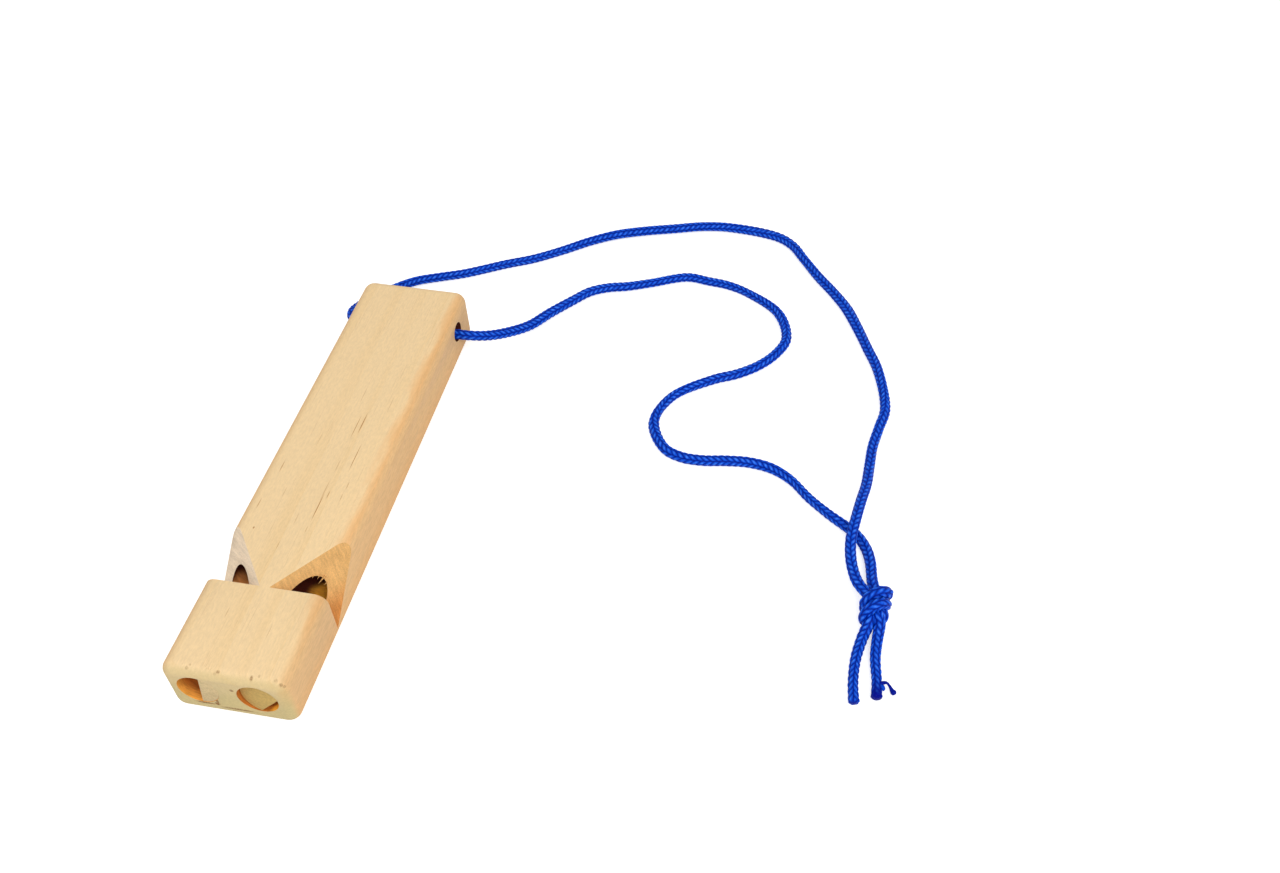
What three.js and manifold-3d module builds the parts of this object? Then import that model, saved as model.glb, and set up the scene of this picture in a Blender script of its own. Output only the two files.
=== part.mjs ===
// A twin-bore wooden whistle on a braided neck cord, in millimetres.
// X runs across the block, Y from the mouth end to the tail end, and Z up from the surface it lies on.
import * as THREE from "three";
import { mergeVertices } from "three/addons/utils/BufferGeometryUtils.js";
import Module from "manifold-3d";

const wasm = await Module();
wasm.setup();

// Block
const BLOCK_LENGTH = 125;
const BLOCK_WIDTH = 28;
const BLOCK_HEIGHT = 15;
const LONG_EDGE_RADIUS = 2.9;
const MOUTH_EDGE_RADIUS = 2.4;
const TAIL_EDGE_RADIUS = 2.8;
const MOUTH_Y = -BLOCK_LENGTH / 2;
const TAIL_Y = BLOCK_LENGTH / 2;

// Bores, drilled side by side from the mouth end, one deeper than the other for a lower note
const BORE_DIAMETER = 9;
const SIDE_WALL = 2.9;
const BORE_SPACING = BLOCK_WIDTH - 2 * SIDE_WALL - BORE_DIAMETER;
const BORE_HEIGHT = 8.4;
const LEFT_BORE_DEPTH = 96;
const RIGHT_BORE_DEPTH = 80;
const DRILL_POINT_ANGLE = 118;

// Sound windows: each is a square wall and a plane that slopes up from it to the top corner edge
const WINDOW_SETBACK = 23.3;
const WINDOW_RUN = 17.3;
const WINDOW_APEX_OFFSET = 1.1;
const WINDOW_TIP_HEIGHT = 2.8;

// Plugs: dowels pushed in from the mouth, each with a flat that leaves the windway open
const LEFT_PLUG_CLEARANCE = 0.12;
const RIGHT_PLUG_CLEARANCE = 0.3;
const LEFT_PLUG_RECESS = 0.15;
const RIGHT_PLUG_RECESS = 1;
const PLUG_SETBACK = 0.1;
const PLUG_EDGE_CHAMFER = 0.3;
const LEFT_WINDWAY = { angle: 171, mouthChord: -0.5, innerChord: 3.2 };
const RIGHT_WINDWAY = { angle: -43, mouthChord: 2.85, innerChord: 3.2 };

// Cord hole, drilled across the block near the tail
const HOLE_DIAMETER = 5.2;
const HOLE_SETBACK = 10.5;
const HOLE_HEIGHT = 9.3;
const HOLE_Y = TAIL_Y - HOLE_SETBACK;

// Cord
const CORD_DIAMETER = 2.7;
const KNOT_CORD_DIAMETER = 2.8;
const TAIL_DIAMETER = 2.5;
const CORD_GAP = 0.3;
const CORD_LIFT = 0.05;
const CORD_SIDES = 8;
const GROUND = CORD_DIAMETER / 2 + CORD_LIFT;
const TAIL_GROUND = TAIL_DIAMETER / 2 + CORD_LIFT;
const CORD_IN_HOLE = HOLE_HEIGHT - HOLE_DIAMETER / 2 + CORD_DIAMETER / 2 + CORD_GAP;

// Route of the cord, from the middle of the hole outwards on each side.
// It leaves the left side, turns back round the tail and makes the wide outer sweep.
const LEFT_RUN = [
  [-8, HOLE_Y, CORD_IN_HOLE], [-13.3, 52.3, CORD_IN_HOLE], [-15.6, 53.3, 8.3], [-16.9, 55.6, 8],
  [-16.2, 62.6, 5.7], [-11.6, 73.7, 2.4], [-7.4, 78.4, 1.6], [-1.5, 81.4, GROUND],
  [5, 84.2, GROUND], [15.5, 90.3, GROUND], [22.7, 94.1, GROUND], [30, 99.3, GROUND],
  [37, 104.9, GROUND], [44, 109.3, GROUND], [52, 112.5, GROUND], [60, 115, GROUND],
  [68, 117.5, GROUND], [76, 118.5, GROUND], [90.5, 116.7, GROUND], [95.5, 113.5, GROUND],
  [99.5, 108, GROUND], [104.5, 101, GROUND], [109.8, 94.5, GROUND], [114, 88.6, GROUND],
  [117.6, 81.5, GROUND], [121.2, 73.5, GROUND], [124.7, 65.5, GROUND], [127.8, 51.5, GROUND],
  [126.8, 44.5, GROUND], [125.8, 37.6, 1.5], [125.6, 30.5, 1.9], [125.4, 23.8, 2.8],
  [124.6, 17.3, 4], [123.9, 10.9, 4.6], [123.4, 5, 4.4], [123.8, 0.4, 3.9],
];
// It leaves the right side, drops to the surface and snakes inside the sweep, under it, to the knot.
const RIGHT_RUN = [
  [8, HOLE_Y, CORD_IN_HOLE], [13.5, 52.1, CORD_IN_HOLE], [17.5, 52.5, 8.1], [21.3, 54.9, 6.6],
  [25.4, 59.5, 4.4], [29.4, 65.2, 2.4], [33.2, 72, 1.5], [38.1, 78.3, GROUND],
  [42, 82.8, GROUND], [46.6, 85.4, GROUND], [52, 87, GROUND], [58, 89.5, GROUND],
  [68, 93.9, GROUND], [74, 93.3, GROUND], [80, 92.5, GROUND], [85.9, 90.2, GROUND],
  [95.4, 83.4, GROUND], [99.1, 73.4, GROUND], [97.2, 67.2, GROUND], [93.4, 61.9, GROUND],
  [88.2, 57.6, GROUND], [82.2, 54.3, GROUND], [72.8, 46.2, GROUND], [69.9, 36.5, GROUND],
  [74.3, 28, GROUND], [79, 25.8, GROUND], [84.5, 25.6, GROUND], [90, 26.5, GROUND],
  [96, 27, GROUND], [101.9, 26, GROUND], [107, 23.1, GROUND], [112, 18.2, GROUND],
  [117, 14.2, GROUND], [124.5, 8.8, GROUND], [127.2, 5, GROUND], [128.5, 1, 1.8],
];
// Overhand knot tied with both strands together: down through the knot, once round, and down again
const LEFT_KNOT = [
  [124.8, -3.6, 3.7], [126.2, -7, 3.9], [128.1, -9.5, 4.2], [129.9, -11.2, 4.3], [131.6, -12.7, 3.9],
  [132.6, -14.2, 2.7], [131.9, -15.4, 1.6], [130.3, -15.9, 1.5], [128.8, -16, 2.4],
  [128.6, -15.5, 3.9], [129.7, -14.7, 5.4], [131.2, -13.7, 5.9], [132.3, -12.7, 5.2],
  [132.9, -11.8, 3.8], [132.9, -11, 2.4], [132, -10.7, 1.5], [130.6, -11.2, 1.5],
  [129.9, -12.5, 2.1], [129.8, -14.2, 3.2], [129.9, -16.3, 3.4], [129.3, -18.3, 2.4],
];
const RIGHT_KNOT = [
  [129.1, -2.8, 2.1], [129.5, -5.4, 2.6], [130.1, -7.6, 3], [130.8, -9.8, 3.1], [131.4, -11.7, 2.4],
  [131.2, -13, 1.6], [129.9, -13.6, 1.5], [128.7, -13.1, 2.4], [128.4, -12.4, 4],
  [129.3, -11.5, 5.4], [130.8, -10.5, 5.9], [132.2, -9.6, 5.3], [133.1, -8.8, 3.9],
  [132.6, -8.4, 2.3], [131, -8.8, 1.6], [129.9, -10.3, 2], [130.3, -12, 2.9],
  [131, -13.7, 3.5], [131.5, -15.4, 3.9], [132.1, -16.9, 3.3], [132.1, -18.3, 2.5],
];
const LEFT_TAIL = [
  [128.7, -20.2, 1.7], [127.8, -25.5, TAIL_GROUND], [127.8, -31.8, TAIL_GROUND],
  [128.6, -37.7, TAIL_GROUND],
];
const RIGHT_TAIL = [
  [132, -20, 1.8], [132, -24.8, TAIL_GROUND], [132.8, -30.5, TAIL_GROUND],
  [133.2, -35.7, TAIL_GROUND],
];
// The knot's tight middle, where the turns press together
const KNOT_CORE = { centre: [130.7, -12.3, 3.5], radii: [2.9, 4.3, 2.8] };

// Finishes
const PINE = { color: 0xeecfa0, roughness: 0.62, metalness: 0 };
const PINE_END_GRAIN = { color: 0xcdbb93, roughness: 0.75, metalness: 0 };
const BLUE_NYLON = { color: 0x0a3cc8, roughness: 0.5, metalness: 0 };

// Facets
const EDGE_SEGMENTS = 7;
const BORE_SEGMENTS = 48;
const HOLE_SEGMENTS = 32;
const KNOT_PIECES = 4;
const KNOT_STEPS = 12;
const KNOT_LAP = 0.5;
const OVERRUN = 10;
const UP = new THREE.Vector3(0, 0, 1);

// A closed geometry as a solid that can be joined and cut.
function solid(geometry) {
  const bare = geometry.clone();
  bare.deleteAttribute("normal");
  bare.deleteAttribute("uv");
  const merged = mergeVertices(bare, 1e-4);
  const mesh = new wasm.Mesh({
    numProp: 3,
    vertProperties: merged.getAttribute("position").array,
    triVerts: new Uint32Array(merged.index.array),
  });
  return new wasm.Manifold(mesh);
}

// A solid as a named mesh with its own finish.
function part(name, body, finish) {
  const made = body.getMesh();
  const geometry = new THREE.BufferGeometry();
  geometry.setAttribute("position", new THREE.BufferAttribute(made.vertProperties, 3));
  geometry.setIndex(new THREE.BufferAttribute(made.triVerts, 1));
  geometry.computeVertexNormals();
  const mesh = new THREE.Mesh(geometry, new THREE.MeshStandardMaterial(finish));
  mesh.name = name;
  return mesh;
}

// The block's cross-section, drawn with Z as the shape's second axis.
function blockOutline() {
  const half = BLOCK_WIDTH / 2 - LONG_EDGE_RADIUS;
  const low = LONG_EDGE_RADIUS;
  const high = BLOCK_HEIGHT - LONG_EDGE_RADIUS;
  const outline = new THREE.Shape();
  outline.absarc(half, low, LONG_EDGE_RADIUS, -Math.PI / 2, 0);
  outline.absarc(half, high, LONG_EDGE_RADIUS, 0, Math.PI / 2);
  outline.absarc(-half, high, LONG_EDGE_RADIUS, Math.PI / 2, Math.PI);
  outline.absarc(-half, low, LONG_EDGE_RADIUS, Math.PI, 1.5 * Math.PI);
  return outline;
}

// The block with both ends rounded by one radius, between two places along Y.
function roundedBlock(start, end, endRadius) {
  const geometry = new THREE.ExtrudeGeometry(blockOutline(), {
    depth: end - start - 2 * endRadius,
    curveSegments: EDGE_SEGMENTS,
    bevelThickness: endRadius,
    bevelSize: endRadius,
    bevelOffset: -endRadius,
    bevelSegments: EDGE_SEGMENTS,
  });
  geometry.rotateX(Math.PI / 2);
  geometry.translate(0, end - endRadius, 0);
  return solid(geometry);
}

// A drilled hole along Y from the mouth end, with the cone that the drill leaves.
function drilledBore(x, depth) {
  const radius = BORE_DIAMETER / 2;
  const point = radius / Math.tan(THREE.MathUtils.degToRad(DRILL_POINT_ANGLE / 2));
  const profile = [
    new THREE.Vector2(0, -OVERRUN),
    new THREE.Vector2(radius, -OVERRUN),
    new THREE.Vector2(radius, depth),
    new THREE.Vector2(0, depth + point),
  ];
  const geometry = new THREE.LatheGeometry(profile, BORE_SEGMENTS);
  geometry.translate(x, MOUTH_Y, BORE_HEIGHT);
  return solid(geometry);
}

// What a window takes away: everything above its slope and behind its wall. Side is 1 right, -1 left.
function windowCut(side) {
  const wall = MOUTH_Y + WINDOW_SETBACK;
  const apex = new THREE.Vector3(side * WINDOW_APEX_OFFSET, wall, BLOCK_HEIGHT);
  const end = new THREE.Vector3((side * BLOCK_WIDTH) / 2, wall + WINDOW_RUN, BLOCK_HEIGHT);
  const tip = new THREE.Vector3((side * BLOCK_WIDTH) / 2, wall, WINDOW_TIP_HEIGHT);
  const slope = new THREE.Plane().setFromCoplanarPoints(apex, tip, end);
  if (slope.normal.z < 0) slope.negate();
  const reach = 2 * BLOCK_LENGTH;
  const above = new THREE.BoxGeometry(reach, reach, reach).translate(0, 0, reach / 2);
  above.applyQuaternion(new THREE.Quaternion().setFromUnitVectors(UP, slope.normal));
  above.translate(apex.x, apex.y, apex.z);
  const behind = new THREE.BoxGeometry(reach, reach, reach).translate(0, wall + reach / 2, 0);
  const beside = new THREE.BoxGeometry(reach, reach, reach).translate((side * reach) / 2, 0, 0);
  return solid(above).intersect(solid(behind)).intersect(solid(beside));
}

// The hole for the cord, through both sides.
function cordHole() {
  const radius = HOLE_DIAMETER / 2;
  const length = BLOCK_WIDTH + 2 * OVERRUN;
  const geometry = new THREE.CylinderGeometry(radius, radius, length, HOLE_SEGMENTS);
  geometry.rotateZ(Math.PI / 2);
  geometry.translate(0, HOLE_Y, HOLE_HEIGHT);
  return solid(geometry);
}

function whistleBody() {
  const mouthRounded = roundedBlock(MOUTH_Y, TAIL_Y + OVERRUN, MOUTH_EDGE_RADIUS);
  const tailRounded = roundedBlock(MOUTH_Y - OVERRUN, TAIL_Y, TAIL_EDGE_RADIUS);
  return mouthRounded
    .intersect(tailRounded)
    .subtract(drilledBore(-BORE_SPACING / 2, LEFT_BORE_DEPTH))
    .subtract(drilledBore(BORE_SPACING / 2, RIGHT_BORE_DEPTH))
    .subtract(windowCut(-1))
    .subtract(windowCut(1))
    .subtract(cordHole());
}

// A dowel plug from its recess to the window's wall, with its sloping windway flat cut away.
function plug(x, recess, clearance, windway) {
  const radius = BORE_DIAMETER / 2 - clearance;
  const start = MOUTH_Y + recess;
  const end = MOUTH_Y + WINDOW_SETBACK - PLUG_SETBACK;
  const profile = [
    new THREE.Vector2(0, start),
    new THREE.Vector2(radius - PLUG_EDGE_CHAMFER, start),
    new THREE.Vector2(radius, start + PLUG_EDGE_CHAMFER),
    new THREE.Vector2(radius, end),
    new THREE.Vector2(0, end),
  ];
  const dowel = new THREE.LatheGeometry(profile, BORE_SEGMENTS);
  const angle = THREE.MathUtils.degToRad(windway.angle);
  const outward = new THREE.Vector3(Math.cos(angle), 0, Math.sin(angle));
  const rise = (windway.innerChord - windway.mouthChord) / WINDOW_SETBACK;
  const normal = outward.clone().setY(-rise).normalize();
  const foot = outward.clone().multiplyScalar(windway.mouthChord).setY(MOUTH_Y);
  const reach = 4 * WINDOW_SETBACK;
  const cut = new THREE.BoxGeometry(reach, reach, reach).translate(0, 0, reach / 2);
  cut.applyQuaternion(new THREE.Quaternion().setFromUnitVectors(UP, normal));
  cut.translate(foot.x, foot.y, foot.z);
  return solid(dowel).subtract(solid(cut)).translate([x, 0, BORE_HEIGHT]);
}

// The whole cord as one smooth curve: left tail, knot, outer sweep, hole, inner run, knot, right tail.
const leftSide = [...LEFT_RUN, ...LEFT_KNOT, ...LEFT_TAIL];
const rightSide = [...RIGHT_RUN, ...RIGHT_KNOT, ...RIGHT_TAIL];
const cordPoints = [...leftSide.slice().reverse(), ...rightSide].map((p) => new THREE.Vector3(...p));
const cordCurve = new THREE.CatmullRomCurve3(cordPoints);
const LAST_POINT = cordPoints.length - 1;

// Points where one stretch of the cord ends and the next begins
const HOLE_LEFT = leftSide.length - 2;
const HOLE_RIGHT = leftSide.length + 1;
const LEFT_BEND_END = HOLE_LEFT - 3;
const LEFT_KNOT_IN = leftSide.length - 1 - LEFT_RUN.length;
const LEFT_KNOT_OUT = LEFT_TAIL.length;
const RIGHT_KNOT_IN = leftSide.length + RIGHT_RUN.length;
const RIGHT_KNOT_OUT = LAST_POINT - RIGHT_TAIL.length;

// The part of the cord between two of its points, whose numbers may be fractions.
class Stretch extends THREE.Curve {
  constructor(from, to) {
    super();
    this.from = from;
    this.to = to;
    this.arcLengthDivisions = 1200;
  }

  getPoint(t, target = new THREE.Vector3()) {
    return cordCurve.getPoint((this.from + (this.to - this.from) * t) / LAST_POINT, target);
  }
}

// A place half the gap before or after a point, as a fractional point number.
function besideGap(point, direction) {
  return point + (direction * CORD_GAP) / 2 / cordPoints[point].distanceTo(cordPoints[point + direction]);
}

// A tube with flat ends between two places on the cord.
function tube(from, to, diameter, steps) {
  const section = new THREE.Shape();
  for (let side = 0; side < CORD_SIDES; side += 1) {
    const angle = (2 * Math.PI * side) / CORD_SIDES;
    const corner = new THREE.Vector2(diameter / 2, 0).rotateAround(new THREE.Vector2(), angle);
    if (side === 0) section.moveTo(corner.x, corner.y);
    else section.lineTo(corner.x, corner.y);
  }
  return solid(new THREE.ExtrudeGeometry(section, { extrudePath: new Stretch(from, to), steps }));
}

// One strand's way through the knot, as overlapping lengths of tube.
function knotStrand(from, to) {
  const span = (to - from) / KNOT_PIECES;
  let strand = tube(from, from + span, KNOT_CORD_DIAMETER, KNOT_STEPS);
  for (let piece = 1; piece < KNOT_PIECES; piece += 1) {
    const start = from + piece * span;
    strand = strand.add(tube(start - KNOT_LAP, start + span, KNOT_CORD_DIAMETER, KNOT_STEPS));
  }
  return strand;
}

function knot() {
  const core = new THREE.SphereGeometry(1, 20, 14);
  core.scale(...KNOT_CORE.radii).translate(...KNOT_CORE.centre);
  return solid(core)
    .add(knotStrand(besideGap(LEFT_KNOT_OUT, 1), besideGap(LEFT_KNOT_IN, -1)))
    .add(knotStrand(besideGap(RIGHT_KNOT_IN, 1), besideGap(RIGHT_KNOT_OUT, -1)));
}

function cordPart(name, from, to, diameter, steps) {
  const start = from === 0 ? 0 : besideGap(from, 1);
  const end = to === LAST_POINT ? to : besideGap(to, -1);
  return part(name, tube(start, end, diameter, steps), BLUE_NYLON);
}

const BORE_X = BORE_SPACING / 2;
const whistle = new THREE.Group();
whistle.add(
  part("whistle_body", whistleBody(), PINE),
  part("left_plug", plug(-BORE_X, LEFT_PLUG_RECESS, LEFT_PLUG_CLEARANCE, LEFT_WINDWAY), PINE_END_GRAIN),
  part("right_plug", plug(BORE_X, RIGHT_PLUG_RECESS, RIGHT_PLUG_CLEARANCE, RIGHT_WINDWAY), PINE_END_GRAIN),
  cordPart("cord_hole_stretch", HOLE_LEFT, HOLE_RIGHT, CORD_DIAMETER, 2),
  cordPart("cord_left_bend", LEFT_BEND_END, HOLE_LEFT, CORD_DIAMETER, 6),
  cordPart("cord_left_run", LEFT_KNOT_IN, LEFT_BEND_END, CORD_DIAMETER, 35),
  cordPart("cord_right_run", HOLE_RIGHT, RIGHT_KNOT_IN, CORD_DIAMETER, 33),
  part("cord_knot", knot(), BLUE_NYLON),
  cordPart("cord_left_tail", 0, LEFT_KNOT_OUT, TAIL_DIAMETER, 3),
  cordPart("cord_right_tail", RIGHT_KNOT_OUT, LAST_POINT, TAIL_DIAMETER, 3),
);

export default whistle;
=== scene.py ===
"""A twin-bore wooden whistle on a braided neck cord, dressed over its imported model. Metres, Z up."""

import math
from functools import partial

import bmesh
import bpy
import numpy as np
from bpy.props import FloatProperty, FloatVectorProperty, IntProperty, PointerProperty
from bpy.types import Operator, Panel, PropertyGroup
from mathutils import Matrix, Vector


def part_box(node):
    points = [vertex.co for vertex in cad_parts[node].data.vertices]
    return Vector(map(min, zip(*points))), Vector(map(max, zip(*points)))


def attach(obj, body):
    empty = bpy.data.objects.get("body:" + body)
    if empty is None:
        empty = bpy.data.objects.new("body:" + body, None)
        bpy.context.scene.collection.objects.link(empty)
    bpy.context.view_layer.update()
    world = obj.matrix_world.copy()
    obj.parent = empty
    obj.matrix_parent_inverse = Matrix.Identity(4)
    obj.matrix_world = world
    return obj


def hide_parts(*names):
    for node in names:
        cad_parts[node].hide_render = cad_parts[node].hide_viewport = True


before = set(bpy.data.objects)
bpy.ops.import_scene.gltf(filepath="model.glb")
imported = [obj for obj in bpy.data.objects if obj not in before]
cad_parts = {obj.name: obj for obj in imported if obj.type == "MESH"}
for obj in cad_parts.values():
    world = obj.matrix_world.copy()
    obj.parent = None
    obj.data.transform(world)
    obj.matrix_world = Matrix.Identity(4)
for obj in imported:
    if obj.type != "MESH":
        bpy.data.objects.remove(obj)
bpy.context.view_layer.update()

bl_info = {
    "name": "Wooden Whistle",
    "version": (1, 0, 0),
    "blender": (4, 5, 0),
    "location": "View3D > Sidebar > Whistle",
    "description": "A twin-bore wooden whistle on a braided neck cord",
    "category": "Add Mesh",
}

MM = 0.001
# Vertices nearer than the first are one, and what is nearer than the second to a surface lies on it.
MERGE_DISTANCE = 1e-7
ON_SURFACE = 1e-5

# Block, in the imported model's own place
BLOCK_LOW, BLOCK_HIGH = (Vector(corner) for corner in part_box("whistle_body"))
MOUTH_Y = BLOCK_LOW.y
TAIL_Y = BLOCK_HIGH.y
HALF_WIDTH = BLOCK_HIGH.x
HEIGHT = BLOCK_HIGH.z
LONG_EDGE_RADIUS = 2.9 * MM
MOUTH_EDGE_RADIUS = 2.4 * MM
TAIL_EDGE_RADIUS = 2.8 * MM
# Edges sharper than the first angle are worn round, and the ones sharper than the second look crisp.
WORN_ANGLE = math.radians(40)
CRISP_ANGLE = math.radians(35)

# Bores, windows and cord hole
BORE_RADIUS = 4.5 * MM
BORE_X = 6.6 * MM
BORE_Z = 8.4 * MM
LEFT_BORE_DEPTH = 96 * MM
RIGHT_BORE_DEPTH = 80 * MM
DRILL_POINT = math.radians(118)
WINDOW_SETBACK = 23.3 * MM
WINDOW_RUN = 17.3 * MM
WINDOW_APEX_X = 1.1 * MM
WINDOW_TIP_Z = 2.8 * MM
HOLE_RADIUS = 2.6 * MM
HOLE_Y = TAIL_Y - 10.5 * MM
HOLE_Z = 9.3 * MM
WINDOW_Y = MOUTH_Y + WINDOW_SETBACK
# How far outside the mouth a bore's cutter starts, half the length of the cord hole's, and their sides
BORE_OVERSHOOT = 10 * MM
HOLE_REACH = 30 * MM
BORE_SIDES = 96
HOLE_SIDES = 64

# Plugs: x, recess, the sawn face's slope across and up, radial clearance, flat's angle, chord at the mouth
# and at the window
LEFT_PLUG = (-BORE_X, 0.06 * MM, 0, 0, 0.03 * MM, math.radians(171), -0.5 * MM, 3.2 * MM)
RIGHT_PLUG = (BORE_X, 0.6 * MM, -0.14, 0.12, 0.18 * MM, math.radians(-43), 2.85 * MM, 3.2 * MM)
PLUG_SETBACK = 0.1 * MM
# The dowel is cut from a piece that starts this far outside the mouth, and its edges are worn this wide.
PLUG_SPARE = 1 * MM
PLUG_EDGE = 0.15 * MM

# Cord: its thickness, in the knot too and at the tails, and how high its middle lies
CORD_DIAMETER = 2.7 * MM
KNOT_CORD_DIAMETER = 2.8 * MM
TAIL_DIAMETER = 2.4 * MM
GROUND = 0.0014
TAIL_GROUND = 0.0013
# The sealing heat drew the ends back.
TAIL_SHRINK = 0.5 * MM
IN_HOLE = 0.00835

# Route of the cord, from the middle of the hole outwards on each side
LEFT_RUN = (
    (-0.008, HOLE_Y, IN_HOLE), (-0.0133, 0.0523, IN_HOLE), (-0.0156, 0.0533, 0.0083),
    (-0.0169, 0.0556, 0.008), (-0.0162, 0.0626, 0.0057), (-0.0116, 0.0737, 0.0024),
    (-0.0074, 0.0784, 0.0016), (-0.0015, 0.0814, GROUND), (0.005, 0.0842, GROUND),
    (0.0155, 0.0903, GROUND), (0.0227, 0.0941, GROUND), (0.03, 0.0993, GROUND),
    (0.037, 0.1049, GROUND), (0.044, 0.1093, GROUND), (0.052, 0.1125, GROUND),
    (0.06, 0.115, GROUND), (0.068, 0.1175, GROUND), (0.076, 0.1185, GROUND),
    (0.0905, 0.1167, GROUND), (0.0955, 0.1135, GROUND), (0.0995, 0.108, GROUND),
    (0.1045, 0.101, GROUND), (0.1098, 0.0945, GROUND), (0.114, 0.0886, GROUND),
    (0.1176, 0.0815, GROUND), (0.1212, 0.0735, GROUND), (0.1247, 0.0655, GROUND),
    (0.1278, 0.0515, GROUND), (0.1268, 0.0445, GROUND), (0.1258, 0.0376, 0.0015),
    (0.1256, 0.0305, 0.0019), (0.1254, 0.0238, 0.0028), (0.1246, 0.0173, 0.004),
    (0.1239, 0.0109, 0.0046), (0.1234, 0.005, 0.0044), (0.1238, 0.0004, 0.0039),
)
RIGHT_RUN = (
    (0.008, HOLE_Y, IN_HOLE), (0.0135, 0.0521, IN_HOLE), (0.0175, 0.0525, 0.0081),
    (0.0213, 0.0549, 0.0066), (0.0254, 0.0595, 0.0044), (0.0294, 0.0652, 0.0024),
    (0.0332, 0.072, 0.0015), (0.0381, 0.0783, GROUND), (0.042, 0.0828, GROUND),
    (0.0466, 0.0854, GROUND), (0.052, 0.087, GROUND), (0.058, 0.0895, GROUND),
    (0.068, 0.0939, GROUND), (0.074, 0.0933, GROUND), (0.08, 0.0925, GROUND),
    (0.0859, 0.0902, GROUND), (0.0954, 0.0834, GROUND), (0.0991, 0.0734, GROUND),
    (0.0972, 0.0672, GROUND), (0.0934, 0.0619, GROUND), (0.0882, 0.0576, GROUND),
    (0.0822, 0.0543, GROUND), (0.0728, 0.0462, GROUND), (0.0699, 0.0365, GROUND),
    (0.0743, 0.028, GROUND), (0.079, 0.0258, GROUND), (0.0845, 0.0256, GROUND),
    (0.09, 0.0265, GROUND), (0.096, 0.027, GROUND), (0.1019, 0.026, GROUND),
    (0.107, 0.0231, GROUND), (0.112, 0.0182, GROUND), (0.117, 0.0142, GROUND),
    (0.1245, 0.0088, GROUND), (0.1272, 0.005, GROUND), (0.1285, 0.001, 0.0018),
)
# Overhand knot tied with both strands together
LEFT_KNOT = (
    (0.1248, -0.0036, 0.0037), (0.1262, -0.007, 0.0039), (0.1281, -0.0095, 0.0042),
    (0.1299, -0.0112, 0.0043), (0.1316, -0.0127, 0.0039), (0.1326, -0.0142, 0.0027),
    (0.1319, -0.0154, 0.0016), (0.1303, -0.0159, 0.0015), (0.1288, -0.016, 0.0024),
    (0.1286, -0.0155, 0.0039), (0.1297, -0.0147, 0.0054), (0.1312, -0.0137, 0.0059),
    (0.1323, -0.0127, 0.0052), (0.1329, -0.0118, 0.0038), (0.1329, -0.011, 0.0024),
    (0.132, -0.0107, 0.0015), (0.1306, -0.0112, 0.0015), (0.1299, -0.0125, 0.0021),
    (0.1298, -0.0142, 0.0032), (0.1299, -0.0163, 0.0034), (0.1293, -0.0183, 0.0024),
)
RIGHT_KNOT = (
    (0.1291, -0.0028, 0.0021), (0.1295, -0.0054, 0.0026), (0.1301, -0.0076, 0.003),
    (0.1308, -0.0098, 0.0031), (0.1314, -0.0117, 0.0024), (0.1312, -0.013, 0.0016),
    (0.1299, -0.0136, 0.0015), (0.1287, -0.0131, 0.0024), (0.1284, -0.0124, 0.004),
    (0.1293, -0.0115, 0.0054), (0.1308, -0.0105, 0.0059), (0.1322, -0.0096, 0.0053),
    (0.1331, -0.0088, 0.0039), (0.1326, -0.0084, 0.0023), (0.131, -0.0088, 0.0016),
    (0.1299, -0.0103, 0.002), (0.1303, -0.012, 0.0029), (0.131, -0.0137, 0.0035),
    (0.1315, -0.0154, 0.0039), (0.1321, -0.0169, 0.0033), (0.1321, -0.0183, 0.0025),
)
LEFT_TAIL = (
    (0.1287, -0.0202, 0.0017), (0.1278, -0.0255, TAIL_GROUND), (0.1278, -0.0318, TAIL_GROUND),
    (0.1286, -0.0377, TAIL_GROUND),
)
RIGHT_TAIL = (
    (0.132, -0.02, 0.0018), (0.132, -0.0248, TAIL_GROUND), (0.1328, -0.0305, TAIL_GROUND),
    (0.1332, -0.0357, TAIL_GROUND),
)

# The soft braid lies flatter in some places: millimetres along the strand, and its width there over the
# common one
LEFT_LIE = (
    (40, 1), (58, 0.88), (84, 0.82), (96, 0.95), (106, 1.12), (140, 1.12), (165, 1.05), (182, 1.08),
    (192, 1.18), (204, 1.04), (235, 1.05), (245, 1),
)
RIGHT_LIE = (
    (18, 1), (28, 1.14), (42, 1.14), (52, 1.02), (66, 0.98), (76, 0.86), (88, 0.9), (97, 0.8),
    (104, 0.74), (111, 0.9), (118, 1.1), (136, 1.02), (150, 1), (164, 0.88), (172, 0.88),
    (178, 1.1), (190, 1.06), (214, 1.08), (223, 0.82), (232, 0.82), (240, 1),
)

# The thickness changes over these lengths: from the knot's start into it, and from its end into the tail.
# The strands press on each other from the first length before the knot onwards.
KNOT_EASE = 4 * MM
TAIL_EASE = 12 * MM
# The end's rounding and the start's, and the flare of the sealed end: its share of the radius and its length
END_ROUNDING = 0.5 * MM
START_ROUNDING = 0.3 * MM
END_FLARE = 0.16
FLARE_LENGTH = 1.2 * MM
# Length of each tail that the sealing heat melted smooth, and how much of the relief it took
LEFT_MELTED = 0.3 * MM
RIGHT_MELTED = 5 * MM
MELTED_RELIEF = 0.6
# Handling has turned the braid about the cord in slow waves: size, rate over a metre and shift, in radians
HANDLING_TWISTS = ((0.9, 23, 0), (0.6, 51, 1))
# Stitches: how far each leans over a row's width and where it starts, in stitches, and how full its
# cross-section and its length are, where less is fuller
STITCH_LEAN = 0.9
STITCH_START = 0.25
CROWN_FULLNESS = 0.4
LENGTH_FULLNESS = 0.75
# Mesh of a strand: places around it, and the distance between its rings
AROUND = 48
RING_SPACING = 0.23 * MM
# A strand presses on itself only from this far along it, in thicknesses, and every third ring is looked at.
OWN_TURN = 1.6
RING_STEP = 3

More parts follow.
